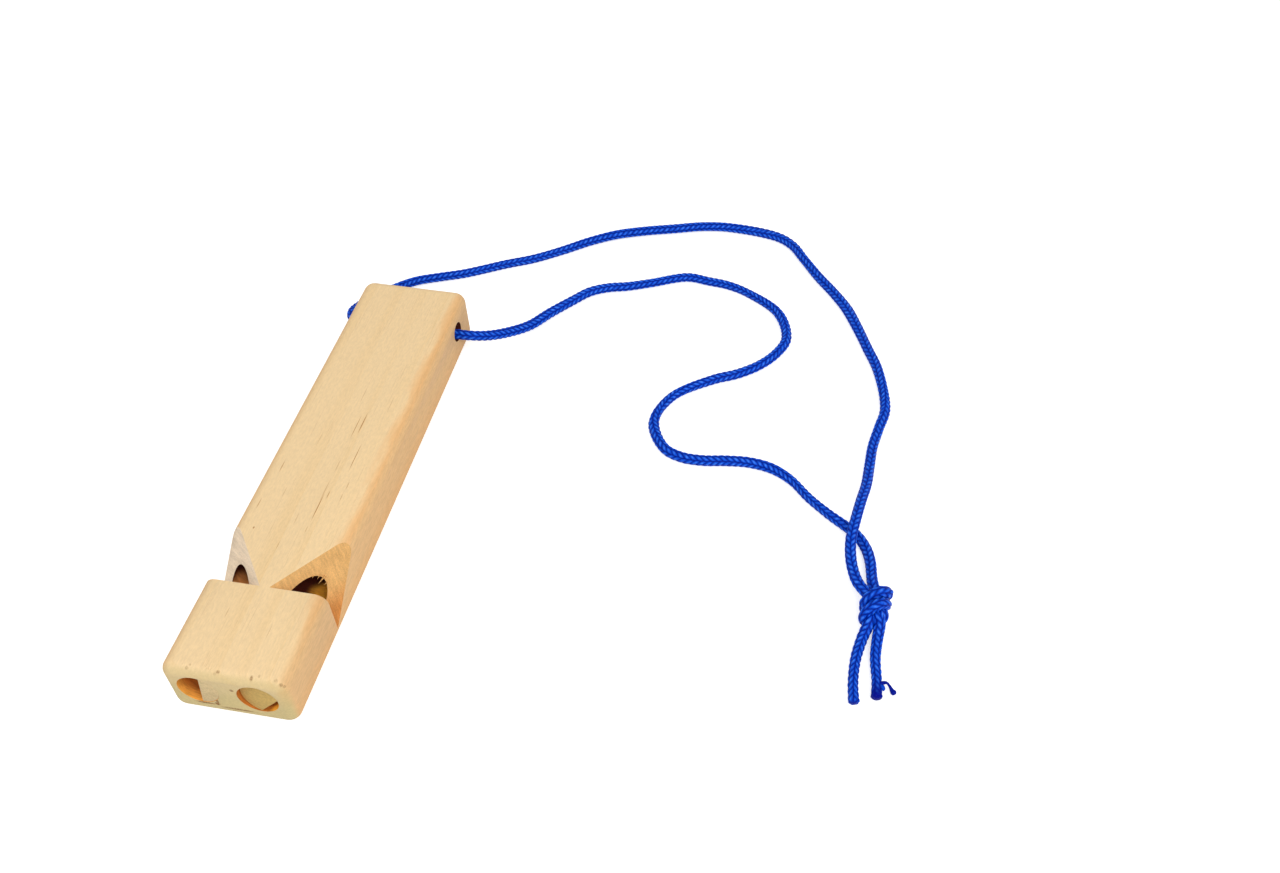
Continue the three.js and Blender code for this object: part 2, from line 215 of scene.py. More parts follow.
# One yarn that has come out of the right tail, with a melted drop at its end, and the stitch it came from
FRAYED_THREAD = (
    (0.1336, -0.0315, 0.0018), (0.1344, -0.0312, 0.002), (0.135, -0.0313, 0.0022),
    (0.1355, -0.0317, 0.002), (0.136, -0.0322, 0.0016), (0.1363, -0.0325, 0.0013),
    (0.1366, -0.0328, 0.0012), (0.1368, -0.0331, 0.0011), (0.1369, -0.0333, 0.0011),
)
FRAYED_WIDTHS = (0.001, 0.0008, 0.0006, 0.0006, 0.0008, 0.0011, 0.0014, 0.0011, 0.0)
FRAYED_MELTED = 0.9
LOOSE_STITCH = (
    (0.1334, -0.0318, 0.0014), (0.1341, -0.0321, 0.0014), (0.1344, -0.0325, 0.0012),
    (0.1344, -0.0328, 0.0011),
)
STITCH_WIDTHS = (0.0012, 0.0013, 0.0009, 0.0)
THREAD_AROUND = 12
THREAD_SPACING = 0.1 * MM

# Torn fibres on the right arch: angle round the bore in degrees, length, half width, lean to the middle
TORN_FIBRES = (
    (55, 0.0012, 0.0003, 0.6), (43, 0.0022, 0.00055, 0.5), (27, 0.001, 0.0003, 0.9),
    (70, 0.0007, 0.0003, 0.7),
)
# Each starts this far under the slope, with this share of its length behind its root, and is half as thick
# as it is wide and tapers to a seventh.
FIBRE_DEPTH = 0.1 * MM
FIBRE_ROOT = 0.3
FIBRE_FLATNESS = 0.5
FIBRE_TAPER = 0.15

# Marks on the wood in millimetres: x, y, z, half size across, along and up, strength
RESIN_FLECKS = (
    (3.9, 10.8, 15, 0.16, 4.4, 2, 1.0), (2.7, 9.5, 15, 0.13, 5, 2, 0.8),
    (6, 0, 15, 0.13, 5.4, 2, 0.9), (2.9, -3.2, 15, 0.2, 2.6, 2, 0.3),
    (7.4, -8.6, 15, 0.13, 1.5, 2, 0.6), (2.8, -11, 15, 0.2, 4.4, 2, 0.4),
    (3, -16, 15, 0.15, 5, 2, 1.0), (4, -12, 15, 0.14, 1.5, 2, 0.8),
    (-9.8, -5.7, 15, 0.13, 2.4, 2, 0.8), (-10.6, -17.2, 15, 0.13, 2, 2, 0.7),
    (-8.9, -24.2, 15, 0.25, 0.4, 2, 1.0), (-1.6, -28, 15, 0.12, 1.6, 2, 0.5),
    (2.9, -22.6, 15, 0.12, 1.3, 2, 0.5), (7.2, -12.3, 15, 0.12, 1.5, 2, 0.5),
    (0.8, 20, 15, 0.12, 3.4, 2, 0.35), (-4.4, 4, 15, 0.12, 3, 2, 0.35),
    (-6.2, -13, 15, 0.12, 2.2, 2, 0.4), (8.4, 18, 15, 0.12, 4, 2, 0.35),
    (-0.5, -20, 15, 0.12, 2.4, 2, 0.4), (-5.1, -47, 15, 0.12, 2, 2, 0.4),
    (5.6, -50, 15, 0.12, 2.4, 2, 0.35),
)
# Chips on the mouth end; its last two entries are painted shadow, dark lines along its lower edge.
CHIPS_AND_SHADOW = (
    (-7.7, -61.2, 14.6, 0.5, 0.6, 0.6, 0.35), (-7.2, -60.6, 14.9, 0.4, 0.4, 0.4, 0.35),
    (-0.9, -61.1, 14.7, 0.6, 0.5, 0.5, 0.6), (-1.5, -61.5, 14.4, 0.5, 0.4, 0.5, 0.3),
    (6.4, -61.3, 14.6, 0.45, 0.8, 0.8, 0.75), (7.9, -60.7, 14.9, 0.4, 0.5, 0.5, 0.3),
    (11.6, -61, 14.7, 0.6, 0.6, 0.6, 0.35), (12.7, -61.4, 14, 0.6, 0.5, 0.6, 0.6),
    (13.3, -61.3, 13.5, 0.5, 0.5, 0.5, 0.45), (1.4, -62.5, 10.4, 0.6, 0.7, 0.6, 1.0),
    (-3.3, -62.5, 5.1, 0.42, 0.7, 1.8, 1.0), (-3.5, -62.5, 3.9, 0.8, 0.7, 0.8, 1.0),
    (-6.2, -62.5, 3.6, 3.0, 0.7, 0.45, 1.0), (1, -62.4, 2.9, 5.2, 0.9, 0.45, 0.85),
)
# Painted pools of light on the drilled walls: under each window, and low in the right bore's mouth
PAINTED_LIGHT_PATCHES = (
    (8.4, -31.5, 4.2, 4.6, 3.8, 5, 1.0), (-10, -35.5, 5.2, 3.6, 6.6, 5, 1.0),
    (10, -62.3, 5.2, 2.6, 2.2, 2.6, 1.0),
)

# Directions square to the saw lines on the slopes and along them, each times its lines per metre
SAW_ACROSS = Vector((0.66, 0.74, -0.1)) * 2000
SAW_ALONG = Vector((0.43, -0.49, -0.75)) * 300
# From the tree's heart to the origin, the middle of the block's footprint
HEART_TO_BLOCK = (21 * MM, 0, 34 * MM)

# Camera: where the photograph was taken from
CAMERA_PLACE = Vector((0.12173, -0.1855, 0.24089))
CAMERA_YAW = math.radians(-9.96)
CAMERA_PITCH = math.radians(48.1)
CAMERA_ROLL = math.radians(0.23)
CAMERA_LENS_MM = 36.28
CAMERA_SENSOR_MM = 36
CAMERA_SHIFT = (-0.0494, 0.0175)
CAMERA_NEAR = 10 * MM

# Studio: soft lamps as name, place, width and power, the place they aim at, the world's strength on the
# object, the floor's own glow for the camera, and half the floor's width
LAMPS = (
    ("Key", (-0.45, -0.25, 0.75), 0.6, 1.4),
    ("Fill", (0.55, -0.3, 0.32), 0.6, 1.05),
    ("Front", (0.35, -0.44, 0.74), 0.45, 2.9),
)
LAMP_AIM = Vector((0.05, 0.02, 0))
WORLD_LIGHT = 0.52
FLOOR_GLOW = 0.6
FLOOR_HALF_WIDTH = 3


def linear(hex_colour):
    """An sRGB hex colour as linear RGB, for defaults and sockets."""
    channels = [int(hex_colour[i:i + 2], 16) / 255 for i in (1, 3, 5)]
    return tuple(c / 12.92 if c <= 0.04045 else ((c + 0.055) / 1.055) ** 2.4 for c in channels)


def colour(name, description, hex_colour):
    """A colour that the sidebar shows."""
    return FloatVectorProperty(
        name=name, description=description, default=linear(hex_colour), subtype="COLOR", size=3, min=0, max=1
    )


class WhistleSizes(PropertyGroup):
    """Sizes of the fine detail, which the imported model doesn't hold."""

    rim_bevel: FloatProperty(
        name="Rim rounding",
        description="Width of the worn rounding on the bore rims and window edges",
        default=0.00018, unit="LENGTH", subtype="DISTANCE",
    )
    ring_width: FloatProperty(
        name="Growth ring",
        description="Width of one year's ring in the pine",
        default=0.0027, unit="LENGTH", subtype="DISTANCE",
    )
    stitch_pitch: FloatProperty(
        name="Stitch pitch",
        description="Length of cord that one stitch of the braid takes",
        default=0.00155, unit="LENGTH", subtype="DISTANCE",
    )
    stitch_relief: FloatProperty(
        name="Stitch relief",
        description="Depth of the valleys between the braid's stitches",
        default=0.00022, unit="LENGTH", subtype="DISTANCE",
    )
    stitch_rows: IntProperty(
        name="Stitch rows",
        description="Rows of stitches around the cord, leaning left and right in turn",
        default=6, min=4, max=12,
    )


class WhistleColours(PropertyGroup):
    """Colours of the wood, the cord and the floor."""

    earlywood: colour("Earlywood", "The pale, wide part of each ring", "#f2d3a2")
    latewood: colour("Latewood", "The darker line that ends each ring", "#eecb94")
    # Painted shade: the sides are darker and more orange than the top.
    shaded_flank: colour("Flank", "The block's sides, cut along the rings", "#dfb27b")
    # Painted shade: this orange lies along the right long edges and low on the sides.
    edge: colour("Edge", "The long edges, warmed by sanding", "#e8a75f")
    resin: colour("Resin fleck", "Short resin canals that show as dark dashes", "#b27a42")
    # This colour also paints the shadow along the mouth's lower edge.
    chip_and_shadow: colour("Chip", "Bruised wood and dirt along the mouth edge", "#80521f")
    end_grain: colour("End grain", "The cut ends of the fibres", "#cdb983")
    # Painted light and shade in the bores: lit at the mouth, shade further in and in the chambers, and pools
    # of light.
    lit_bore_rim: colour("Bore rim", "Drilled wall at the mouth end", "#e39a40")
    bore_wall_shade: colour("Bore wall", "Drilled wall beside the plugs", "#ad5f1e")
    chamber_shade: colour("Burnished wall", "Wall of the chambers, darkened by the drill", "#4c1809")
    left_light_pool: colour("Clean patch, left", "Clean wall under the left window", "#ffa65c")
    right_light_pool: colour("Clean patch, right", "Clean wall under the right window", "#ffae38")
    # Painted light and shade on the slopes: the left paler, the right and its low tip in shade.
    lit_left_facet: colour("Left facet", "Sawn slope of the left window", "#f2dcc1")
    shaded_right_facet: colour("Right facet", "Sawn slope of the right window", "#e0a962")
    shaded_slope_tip: colour("Slope's tip", "The low tip of the right window's slope", "#d07e35")
    left_dowel: colour("Left plug", "End grain of the left dowel", "#d5bd8f")
    right_dowel: colour("Right plug", "End grain of the right dowel", "#caa964")
    # Painted highlight on the stitch tops and painted shade in the valleys between them.
    painted_nylon_glint: colour("Nylon glint", "The tops of the stitches", "#4688f8")
    nylon: colour("Nylon", "The braided cord", "#0c51d8")
    nylon_valley_shade: colour("Nylon in the valleys", "The cord between its stitches", "#001c88")
    melted: colour("Melted nylon", "The sealed ends of the cord", "#000684")
    floor: colour("Floor", "The pale surface as the camera sees it", "#ffffff")
    floor_shade: colour("Floor's paint", "What the floor takes from the lamps", "#e7e7e7")


def mesh_object(name, bm):
    """A bmesh as an object in the scene."""
    mesh = bpy.data.meshes.new(name)
    bm.to_mesh(mesh)
    bm.free()
    piece = bpy.data.objects.new(name, mesh)
    bpy.context.scene.collection.objects.link(piece)
    return piece


def new_piece(name, bm, material, smooth_angle=None):
    """A finished mesh as an object at the origin, riding with the whistle."""
    piece = mesh_object(name, bm)
    piece.data.materials.append(material)
    if smooth_angle is not None:
        piece.data.shade_smooth()
        piece.data.set_sharp_from_angle(angle=smooth_angle)
    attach(piece, "root")
    return piece


# What a node has here unless its call says otherwise: the inputs that a plain row of inputs fills, the
# output and the settings
NODE_WAYS = {
    "Mix": ((0, 6, 7), 2, {"data_type": "RGBA"}),
    "MapRange": (range(5), 0, {"interpolation_type": "SMOOTHSTEP"}),
}


def add_node(tree, kind, inputs=(), output=None, **settings):
    """Add a shader node with its settings and links. An input is a value or another node's output."""
    sockets, usual_output, usual_settings = NODE_WAYS.get(kind, (range(3), 0, {}))
    node = tree.nodes.new("ShaderNode" + kind)
    for key, value in {**usual_settings, **settings}.items():
        setattr(node, key, value)
    pairs = inputs.items() if isinstance(inputs, dict) else zip(sockets, inputs)
    for key, value in pairs:
        socket = node.inputs[key]
        if isinstance(value, bpy.types.NodeSocket):
            tree.links.new(value, socket)
        else:
            socket.default_value = (*value, 1.0) if socket.type == "RGBA" else value
    return node.outputs[usual_output if output is None else output]


def new_material(name):
    """An empty material, and the function that adds a node to it."""
    material = bpy.data.materials.new(name)
    material.use_nodes = True
    material.node_tree.nodes.clear()
    return material, partial(add_node, material.node_tree)


def surfaced(material, inputs):
    """The material with its surface shader, whose inputs are values or other nodes' outputs."""
    tree = material.node_tree
    shader = add_node(tree, "BsdfPrincipled", inputs)
    output = tree.nodes.new("ShaderNodeOutputMaterial")
    tree.links.new(shader, output.inputs["Surface"])
    return material


def object_place(node, scale=(1, 1, 1), location=(0, 0, 0)):
    """The place on the whistle in metres, stretched by the scale and then moved."""
    place = node("TexCoord", output="Object")
    return node("Mapping", {"Vector": place, "Scale": scale, "Location": location})


def place_along(node, axes):
    """How far along each of the axes a point of the whistle lies, in metres."""
    place = object_place(node)
    return [node("SeparateXYZ", (place,), output=axis) for axis in axes]


def grains(node, size, detail=2.0, roughness=0.5):
    """Noise from 0 to 1, whose grains have this size across, along and up in millimetres."""
    place = object_place(node, [1 / (length * MM) for length in size])
    return node("TexNoise", {"Vector": place, "Scale": 1.0, "Detail": detail, "Roughness": roughness})


def varied(node, tint, pattern, least, most, low=0.3, high=0.7):
    """A colour made darker and lighter by a pattern: times the least where it is low, the most where high."""
    factor = node("MapRange", (pattern, low, high, least, most))
    return node("VectorMath", {0: tint, "Scale": factor}, operation="SCALE")


def spot(node, middle, size):
    """1 inside an ellipsoid round the middle, falling to 0 at its edge. Metres."""
    scale = [1 / length for length in size]
    location = [-place / length for place, length in zip(middle, size)]
    place = object_place(node, scale, location)
    distance = node("VectorMath", (place,), output="Value", operation="LENGTH")
    return node("MapRange", (distance, 1.0, 0.35))


def marks(node, places):
    """The strongest of several spots, each (x, y, z, half size x, y, z, strength) in millimetres."""
    total = 0.0
    for x, y, z, wide, long, high, strength in places:
        own = spot(node, (x * MM, y * MM, z * MM), (wide * MM, long * MM, high * MM))
        own = node("Math", (own, strength), operation="MULTIPLY")
        total = node("Math", (own, total), operation="MAXIMUM")
    return total


def seen_directly(node):
    """1 for rays from the camera, off a gloss or through something clear, which all see a white studio."""
    camera, glossy, clear = (
        node("LightPath", output=f"Is {ray} Ray") for ray in ("Camera", "Glossy", "Transmission")
    )
    return node("Math", (camera, node("Math", (glossy, clear), operation="MAXIMUM")), operation="MAXIMUM")


def pine_grain(node, colours, sizes):
    """Growth rings and fibres of the block. Gives the colour and the fibres' height."""
    # The tree's heart lies far below the block, so the rings cut its top as faint, nearly straight lines.
    from_heart = object_place(node, (1, 0, 1), HEART_TO_BLOCK)
    radius = node("VectorMath", (from_heart,), output="Value", operation="LENGTH")
    wander = grains(node, (16.7, 143, 16.7))
    rings = node("Math", (radius, 1 / sizes.ring_width, wander), operation="MULTIPLY_ADD")
    late = node("MapRange", (node("Math", (rings,), operation="FRACT"), 0.3, 1.0))
    # Single fibres are too fine to show, so they are drawn in bundles 0.3 mm wide and 9 mm long.
    fibres = grains(node, (0.294, 9.09, 0.294), 3.0, 0.6)
    # Broader bands, 2.5 mm by 70 mm, where the late wood is stronger.
    bands = grains(node, (2.5, 71.4, 2.5))
    band_tone = node("MapRange", (bands, 0.3, 0.7, 0, 0.2), interpolation_type="LINEAR")
    lateness = node("Math", (late, bands, band_tone), operation="MULTIPLY_ADD")
    wood = node("Mix", (node("MapRange", (lateness, 0.0, 1.4)), colours.earlywood, colours.latewood))
    # Thin darker threads, 0.2 mm by 18 mm, where a few fibres hold more resin.
    threads = grains(node, (0.192, 18.2, 0.192), 1.0)
    streaked = node("Mix", (node("MapRange", (threads, 0.64, 0.8, 0, 0.3)), wood, colours.resin))
    # Sanding leaves a fine mottle, 0.5 mm across and 1.5 mm along the grain.
    mottle = grains(node, (0.5, 1.54, 0.5), 3.0, 0.7)
    fibrous = varied(node, streaked, fibres, 0.975, 1.02, 0.25, 0.75)
    return varied(node, fibrous, mottle, 0.935, 1.04), fibres


def sanded_pine(colours, sizes):
    """Bare pine, planed and sanded by machine: matt, no finish in the pores, painted orange shade on the
    sides.
    """
    material, node = new_material("Sanded pine with painted shade")
    wood, fibres = pine_grain(node, colours, sizes)
    x, y, z = place_along(node, "XYZ")
    # Painted shade: both sides blend to a darker, more orange colour towards their faces.
    sideways = node("Math", (x,), operation="ABSOLUTE")
    shaded_flank = node("MapRange", (sideways, HALF_WIDTH - 2.6 * MM, HALF_WIDTH - 0.3 * MM, 0, 0.85))
    # Painted shade, more orange, along the right long edges in patches 4 mm wide and 22 mm long, and low on
    # the sides.
    inner = node("MapRange", (x, HALF_WIDTH - 4.4 * MM, HALF_WIDTH - 2 * MM))
    outer = node("MapRange", (x, HALF_WIDTH - 0.2 * MM, HALF_WIDTH - 1 * MM))
    corner = node("Math", (inner, outer), operation="MULTIPLY")
    patches = node("MapRange", (grains(node, (3.85, 22.2, 3.85), 3.0), 0.4, 0.62, 0.05, 0.4))
    painted_edge_band = node("Math", (corner, patches), operation="MULTIPLY")
    low_side_shade = node("MapRange", (z, 7.5 * MM, 3 * MM, 0, 0.3))
    painted_warm_shade = node("Math", (painted_edge_band, node("Math", (shaded_flank, low_side_shade), operation="MULTIPLY")), operation="MAXIMUM")
    sides = node("Mix", (painted_warm_shade, node("Mix", (shaded_flank, wood, colours.shaded_flank)), colours.edge))
    # The sides were sanded harder: a mottle 0.4 mm across and 2 mm along the grain.
    scuffs = node("MapRange", (grains(node, (0.385, 2.08, 0.385), 4.0, 0.75), 0.3, 0.7, -0.12, 0.1))
    scuffed = node("Math", (shaded_flank, scuffs, 1.0), operation="MULTIPLY_ADD")
    sides = node("VectorMath", {0: sides, "Scale": scuffed}, operation="SCALE")
    # The sawn ends are yellower, and the mouth end is darker lower down. Their cut fibres are drawn as pores
    # 0.5 mm by 1 mm, coarser than they are.
    mouth = node("MapRange", (y, MOUTH_Y + 1.9 * MM, MOUTH_Y + 0.3 * MM))
    tail = node("MapRange", (y, TAIL_Y - 1.2 * MM, TAIL_Y, 0, 0.5))
    low = node("MapRange", (z, HEIGHT - 1.2 * MM, HEIGHT * 0.35, 0.55, 1.0))
    pores = grains(node, (0.526, 1.11, 0.526), 3.0, 0.65)
    ends = node("Math", (node("Math", (mouth, low), operation="MULTIPLY"), tail), operation="MAXIMUM")
    ended = node("Mix", (ends, sides, varied(node, colours.end_grain, pores, 0.93, 1.05)))
    flecked = node("Mix", (marks(node, RESIN_FLECKS), ended, colours.resin))
    # The chips and the painted shadow lines are ragged, in specks of 0.24 mm.
    ragged = node("MapRange", (grains(node, (0.238, 0.238, 0.238)), 0.35, 0.55, 0.45, 1.0))
    chips_and_shadow = node("Math", (marks(node, CHIPS_AND_SHADOW), ragged), operation="MULTIPLY")
    return surfaced(material, {
        "Base Color": node("Mix", (chips_and_shadow, flecked, colours.chip_and_shadow)),
        "Roughness": 0.62,
        "Specular IOR Level": 0.3,
        "Normal": node("Bump", {"Height": fibres, "Strength": 0.1, "Distance": 0.08 * MM}),
    })


def drilled_pine(colours):
    """Pine cut by a drill: orange, painted lit at the open end, in painted shade further in, dark in the
    chambers.
    """
    material, node = new_material("Drilled pine with painted light and shade")
    x, y = place_along(node, "XY")
    right = node("MapRange", (x, -0.5 * MM, 0.5 * MM))
    # Painted shade: the right bore's mouth is darker.
    right_bore_shade = node("Math", (right, 0.85), operation="MULTIPLY")
    rim = node("Mix", (right_bore_shade, colours.lit_bore_rim, colours.bore_wall_shade))
    # Painted light at the open end, fading to painted shade 3 mm in, and dark shade past the window.
    lit_open_end = node("MapRange", (y, MOUTH_Y + 3.2 * MM, MOUTH_Y + 0.2 * MM))
    wall = node("Mix", (lit_open_end, colours.bore_wall_shade, rim))
    inside = node("MapRange", (y, WINDOW_Y - 2 * MM, WINDOW_Y + 1 * MM))
    wall = node("Mix", (inside, wall, colours.chamber_shade))
    # Painted pools of light under each window and low in the right bore's mouth.
    pool_of_light = node("Mix", (right, colours.left_light_pool, colours.right_light_pool))
    base = node("Mix", (marks(node, PAINTED_LIGHT_PATCHES), wall, pool_of_light))
    # The drill tore the wall in rings 0.4 mm wide and 2 mm long.
    tears = grains(node, (2, 0.4, 2), 3.0)
    return surfaced(material, {
        "Base Color": varied(node, base, tears, 0.86, 1.22),
        "Roughness": 0.8,
        "Specular IOR Level": 0.2,
        "Normal": node("Bump", {"Height": tears, "Strength": 0.4, "Distance": 0.2 * MM}),
    })


def sawn_pine(colours, sizes):
    """The window slopes, cut across the grain by a saw: rougher, the left painted paler and the right in
    shade.
    """
    material, node = new_material("Sawn pine with painted light and shade")
    wood, _ = pine_grain(node, colours, sizes)
    x, z = place_along(node, "XZ")
    right = node("MapRange", (x, -0.5 * MM, 0.5 * MM))
    # Painted light and shade: the left slope is paler and greyer, the right more orange.
    facet = node("Mix", (right, colours.lit_left_facet, colours.shaded_right_facet))
    # The cut fibre ends are too fine to show one by one, so they are drawn as specks 0.25 mm across.
    specks = grains(node, (0.25, 0.25, 0.25), 2.0, 0.6)
    # The teeth leave lines 0.5 mm apart that lean down the slope.
    place = object_place(node)
    across_and_along = [
        node("VectorMath", (place, direction), output="Value", operation="DOT_PRODUCT")
        for direction in (SAW_ACROSS, SAW_ALONG)
    ]
    teeth = node("TexNoise", {"Vector": node("CombineXYZ", across_and_along), "Scale": 1.0})
    # Painted shade: the right slope darkens towards its low tip.
    low = node("MapRange", (z, 10.5 * MM, 5 * MM, 0, 0.8))
    tip = node("Math", (low, right), operation="MULTIPLY")
    base = node("Mix", (tip, node("Mix", (0.85, wood, facet)), colours.shaded_slope_tip))
    specked = varied(node, base, specks, 0.86, 1.07)
    return surfaced(material, {
        "Base Color": varied(node, specked, teeth, 0.87, 1.07),
        "Roughness": 0.75,
        "Specular IOR Level": 0.2,
        "Normal": node("Bump", {"Height": teeth, "Strength": 0.25, "Distance": 0.12 * MM}),
    })


def dowel_end_grain(name, tint):
    """A wooden dowel sawn across: greyish tan, fine pores, faint saw lines."""
    material, node = new_material(name)
    # The cut fibres are drawn as pores 0.4 mm across, coarser than they are. Saw lines are 0.3 mm apart.
    pores = grains(node, (0.385, 4, 0.385), 3.0)
    saw_lines = grains(node, (3.33, 3.33, 0.3125), 1.0)
    porous = varied(node, tint, pores, 0.88, 1.07)
    return surfaced(material, {
        "Base Color": varied(node, porous, saw_lines, 0.96, 1.03),
        "Roughness": 0.78,
        "Specular IOR Level": 0.2,
        "Normal": node("Bump", {"Height": pores, "Strength": 0.3, "Distance": 0.15 * MM}),
    })


def braided_nylon(colours):
    """Filament nylon, braided: stitch tops with a painted highlight, painted shade in the valleys."""
    material, node = new_material("Braided nylon with painted light and shade")
    height = node("Attribute", output="Fac", attribute_name="stitch_height")
    sealed = node("Attribute", output="Fac", attribute_name="melted")
    # Filaments are too fine to show, so they are drawn 0.125 mm apart, with glints 0.45 mm long.
    strip = node("UVMap", uv_map="Braid")
    strands = node("Mapping", {"Vector": strip, "Scale": (2.2 / MM, 8 / MM, 1)})
    filaments = node("TexNoise", {"Vector": strands, "Scale": 1.0, "Detail": 1.0})
    # Some stitches are painted lighter than others, as if they stood higher, over about 1 mm.
    stitch_light_noise = node("Math", (grains(node, (1.11, 1.11, 1.11), 1.0), 0.5), operation="SUBTRACT")
    stitch_light = node("Math", (stitch_light_noise, 0.5, height), operation="MULTIPLY_ADD")
    # Painted shade in the valleys and a painted highlight on the stitch tops, from the braid's height.
    base = node("Mix", (node("MapRange", (stitch_light, 0.1, 0.85)), colours.nylon_valley_shade, colours.nylon))
    lit = node("Mix", (node("MapRange", (stitch_light, 0.75, 1.1, 0, 0.9)), base, colours.painted_nylon_glint))
    streaked = varied(node, lit, filaments, 0.8, 1.15)
    return surfaced(material, {
        "Base Color": node("Mix", (sealed, streaked, colours.melted)),
        "Roughness": 0.45,
        "Specular IOR Level": 0.05,
        "Normal": node("Bump", {"Height": filaments, "Strength": 0.3, "Distance": 0.1 * MM}),
    })


def smooth_route(points, spacing):
    """The centripetal curve through the points, as places an even distance apart."""
    p = np.array(points, float)
    p = np.vstack([2 * p[0] - p[1], p, 2 * p[-1] - p[-2]])
    t = np.linspace(0, 1, 60, endpoint=False)[:, None]
    dense = []
    for before, start, end, after in zip(p[:-3], p[1:-2], p[2:-1], p[3:]):
        step = end - start
        d0, d1, d2 = (np.linalg.norm(part) ** 0.5 for part in (start - before, step, after - end))
        leave = d1 * ((start - before) / d0 - (end - before) / (d0 + d1)) + step
        arrive = d1 * ((after - end) / d2 - (after - start) / (d1 + d2)) + step
        square, cube = 3 * step - 2 * leave - arrive, leave + arrive - 2 * step
        dense.append(start + leave * t + square * t ** 2 + cube * t ** 3)
    dense = np.vstack(dense + [p[-2:-1]])
    along = np.concatenate([[0], np.cumsum(np.linalg.norm(np.diff(dense, axis=0), axis=1))])
    even = np.linspace(0, along[-1], round(along[-1] / spacing) + 1)
    return np.column_stack([np.interp(even, along, dense[:, axis]) for axis in range(3)]), even


def carried_frames(line):
    """Two directions square to the line at each of its places, carried along it without twisting."""
    tangents = np.gradient(line, axis=0)
    tangents /= np.linalg.norm(tangents, axis=1)[:, None]
    first = np.empty_like(line)
    normal = np.array([0.0, 0.0, 1.0])
    for i, tangent in enumerate(tangents):
        normal = normal - tangent * normal.dot(tangent)
        normal /= np.linalg.norm(normal)
        first[i] = normal
    return first, np.cross(tangents, first)


def route_length(points):
    """Length of cord along a route."""
    return smooth_route(points, 0.5 * MM)[1][-1]


class StrandShape:
    """One strand as arrays: its centreline, how far along it the knot lies, and how flat and melted it is."""

    def __init__(self, run, knot, tail, lie, melted_length):
        """Work out the centreline from the middle of the hole to the end of the tail."""
        self.melted_length = melted_length
        self.lie = lie
        middle = ((0.0, HOLE_Y, IN_HOLE),)
        line, along = smooth_route(middle + run + knot + tail, RING_SPACING)
        kept = along <= along[-1] - TAIL_SHRINK
        self.line, self.along = line[kept], along[kept]
        self.knot_start = route_length(middle + run + knot[:1])
        self.knot_end = route_length(middle + run + knot)
        self.length = self.along[-1]


def braid_height(along, turn, sizes):
    """Height of the braid's surface, 0 in the valleys to 1 on the stitches. turn is from 0 to 1 around."""
    row_place = turn * sizes.stitch_rows
    row = np.floor(row_place)
    across = row_place - row
    lean = np.where(row % 2 == 0, 1.0, -1.0)
    phase = along / sizes.stitch_pitch + lean * (across - 0.5) * STITCH_LEAN + STITCH_START * lean
    crown = np.sin(np.pi * across) ** CROWN_FULLNESS
    swell = np.abs(np.sin(np.pi * phase)) ** LENGTH_FULLNESS
    return crown * swell


def rounded_end(distance, rounding):
    """The share of the full thickness at a distance from an end that closes in a dome."""
    return np.sqrt(np.clip(1 - np.clip(1 - distance / rounding, 0, 1) ** 2, 0, 1))


def strand_surface(shape, sizes):
    """Points of the strand's surface: rings along it by places around it, with the braid's height."""
    first, second = carried_frames(shape.line)
    turn = np.arange(AROUND) / AROUND
    start, end = shape.knot_start, shape.knot_end
    stations = (0, start, start + KNOT_EASE, end, end + TAIL_EASE)
    widths = (CORD_DIAMETER, CORD_DIAMETER, KNOT_CORD_DIAMETER, KNOT_CORD_DIAMETER, TAIL_DIAMETER)
    radius = np.interp(shape.along, stations, widths) / 2
    twist = sum(size * np.sin(shape.along * rate + shift) for size, rate, shift in HANDLING_TWISTS)
    height = braid_height(shape.along[:, None], turn[None, :], sizes)
    to_end = shape.length - shape.along
    melted = np.clip(1 - to_end / shape.melted_length, 0, 1)
    # The sealing heat spreads the cut end a little.
    radius = radius * (1 + END_FLARE * np.exp(-to_end / FLARE_LENGTH))
    dome = rounded_end(to_end, END_ROUNDING) * rounded_end(shape.along, START_ROUNDING)
    relief = sizes.stitch_relief * (1 - MELTED_RELIEF * melted)
    out = (radius[:, None] - relief[:, None] * (1 - height)) * dome[:, None]
    angle = 2 * np.pi * turn[None, :] + twist[:, None]
    ring = np.cos(angle)[..., None] * first[:, None, :] + np.sin(angle)[..., None] * second[:, None, :]
    offset = out[..., None] * ring
    places, widths = np.array(shape.lie).T
    offset[..., :2] *= np.interp(shape.along, places * MM, widths)[:, None, None]
    return shape.line[:, None, :] + offset, height, melted


def press_together(surface, shape, others):
    """Flatten a strand where another turn of cord lies against it, as a tight knot does."""
    for ring_number, centre in enumerate(shape.line):
        for line, along, is_own in others:
            offset = line - centre
            distance = np.linalg.norm(offset, axis=1)
            near = (distance < KNOT_CORD_DIAMETER) & (distance > MERGE_DISTANCE)
            if is_own:
                near &= np.abs(along - shape.along[ring_number]) > OWN_TURN * KNOT_CORD_DIAMETER
            if not near.any():
                continue
            direction = offset[near] / distance[near][:, None]
            reach = surface[ring_number] - centre
            over = reach @ direction.T / (distance[near] / 2)
            surface[ring_number] = centre + reach / np.maximum(over.max(axis=1), 1.0)[:, None]


def tube_grid(rings, around):
    """A grid to wrap into a tube: its bmesh and layers, and each vertex's ring and place around."""
    bm = bmesh.new()
    bmesh.ops.create_grid(bm, x_segments=rings - 1, y_segments=around, size=0.5)
    height = bm.verts.layers.float.new("stitch_height")
    melted = bm.verts.layers.float.new("melted")
    strip = bm.loops.layers.uv.new("Braid")
    places = {}
    for vert in bm.verts:
        places[vert] = (round((vert.co.x + 0.5) * (rings - 1)), round((vert.co.y + 0.5) * around))
    return bm, (height, melted, strip), places


